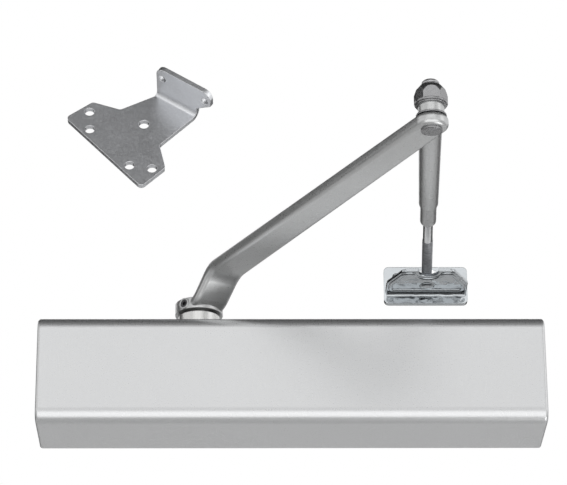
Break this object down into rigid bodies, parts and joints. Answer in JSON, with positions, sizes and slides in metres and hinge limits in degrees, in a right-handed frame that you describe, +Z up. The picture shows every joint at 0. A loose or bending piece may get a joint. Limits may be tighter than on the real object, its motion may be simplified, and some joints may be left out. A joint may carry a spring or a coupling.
{
  "type": "surface door closer",
  "caption": "Surface door closer with a full rectangular cover, gooseneck main arm, telescoping forearm, frame shoe and a loose angled bracket; closes a door by spring.",
  "frame": {"origin": "centre of the four door screws, on the door's face", "axes": "+Y into the door, +Z up, +X to the right as seen by someone who faces the cover"},
  "size_m": [0.305, 0.2679, 0.2505],
  "materials": {
    "cast_body": "as cast",
    "satin_cover": "satin silver lacquer",
    "satin_arm": "satin silver lacquer",
    "screw_steel": "zinc plated",
    "turned_steel": "turned",
    "bearing_steel": "ground",
    "gear_steel": "machined",
    "spring_steel": "oil tempered",
    "dark_steel": "blackened",
    "valve_brass": "turned",
    "seal_rubber": "moulded",
    "bright_zinc": "bright zinc plated",
    "zinc_plate": "zinc plated"
  },
  "bodies": {
    "body": {"closer_housing": "cast_body", "cover": "satin_cover", "cover_screws": "screw_steel", "left_end_cap": "turned_steel", "right_end_cap": "turned_steel", "end_cap_seals": "seal_rubber", "spindle_bearings": "bearing_steel", "upper_bearing_cap": "turned_steel", "lower_bearing_cap": "turned_steel", "spindle_seal": "seal_rubber", "return_spring": "spring_steel", "parallel_arm_bracket": "zinc_plate"},
    "main_arm": {"pinion_shaft": "gear_steel", "main_arm": "satin_arm", "arm_screw": "screw_steel", "arm_washer": "screw_steel", "arm_set_screw": "dark_steel", "elbow_bolt": "zinc_plate", "elbow_nut": "screw_steel", "elbow_washers": "screw_steel"},
    "piston": {"piston": "gear_steel", "check_valve_seat": "valve_brass", "check_ball": "bearing_steel"},
    "forearm": {"forearm_sleeve": "satin_arm", "forearm_lock_screw": "dark_steel"},
    "rod": {"adjusting_rod": "zinc_plate"},
    "shoe": {"shoe": "bright_zinc", "shoe_rivet": "bright_zinc"},
    "power_screw": {"power_screw": "screw_steel"},
    "spring_seat": {"spring_seat": "turned_steel"},
    "closing_valve": {"closing_valve": "valve_brass"},
    "latching_valve": {"latching_valve": "valve_brass"},
    "backcheck_valve": {"backcheck_valve": "valve_brass"}
  },
  "joints": [
    {"name": "spindle_swing", "type": "hinge", "parent": "body", "child": "main_arm", "pos_m": [-0.056, -0.025, 0.05], "axis": [0, 0, 1], "range_deg": [0, 180], "stiffness_Nm_per_rad": 6, "springref_deg": -57.3},
    {"name": "piston_slide", "type": "slide", "parent": "body", "child": "piston", "axis": [1, 0, 0], "range_m": [0, 0.032], "deforming": ["return_spring"]},
    {"name": "elbow_swing", "type": "hinge", "parent": "main_arm", "child": "forearm", "pos_m": [0.07301, -0.25303, 0.0726], "axis": [0, 0, 1], "range_deg": [-145, 15]},
    {"name": "rod_adjust", "type": "slide", "parent": "forearm", "child": "rod", "axis": [0.0482, 0.9988, 0], "range_m": [-0.02, 0.04]},
    {"name": "shoe_swivel", "type": "hinge", "parent": "rod", "child": "shoe", "pos_m": [0.0845, -0.015, 0.0726], "axis": [0, 0, 1], "range_deg": [-85, 85]},
    {"name": "power_turn", "type": "hinge", "parent": "body", "child": "power_screw", "pos_m": [0.12, -0.025, 0], "axis": [-1, 0, 0], "range_deg": [0, 2900]},
    {"name": "seat_slide", "type": "slide", "parent": "body", "child": "spring_seat", "axis": [-1, 0, 0], "range_m": [0, 0.012], "deforming": ["return_spring"]},
    {"name": "closing_turn", "type": "hinge", "parent": "body", "child": "closing_valve", "pos_m": [-0.104, -0.025, -0.025], "axis": [0, 0, 1], "range_deg": [-360, 360]},
    {"name": "latching_turn", "type": "hinge", "parent": "body", "child": "latching_valve", "pos_m": [-0.086, -0.025, -0.025], "axis": [0, 0, 1], "range_deg": [-360, 360]},
    {"name": "backcheck_turn", "type": "hinge", "parent": "body", "child": "backcheck_valve", "pos_m": [-0.016, -0.025, -0.025], "axis": [0, 0, 1], "range_deg": [-360, 360]}
  ],
  "couplings": [
    {"joint": "piston_slide", "follows": "spindle_swing", "m_per_rad": 0.01},
    {"joint": "power_turn", "follows": "seat_slide", "rad_per_m": 4188.8}
  ]
}
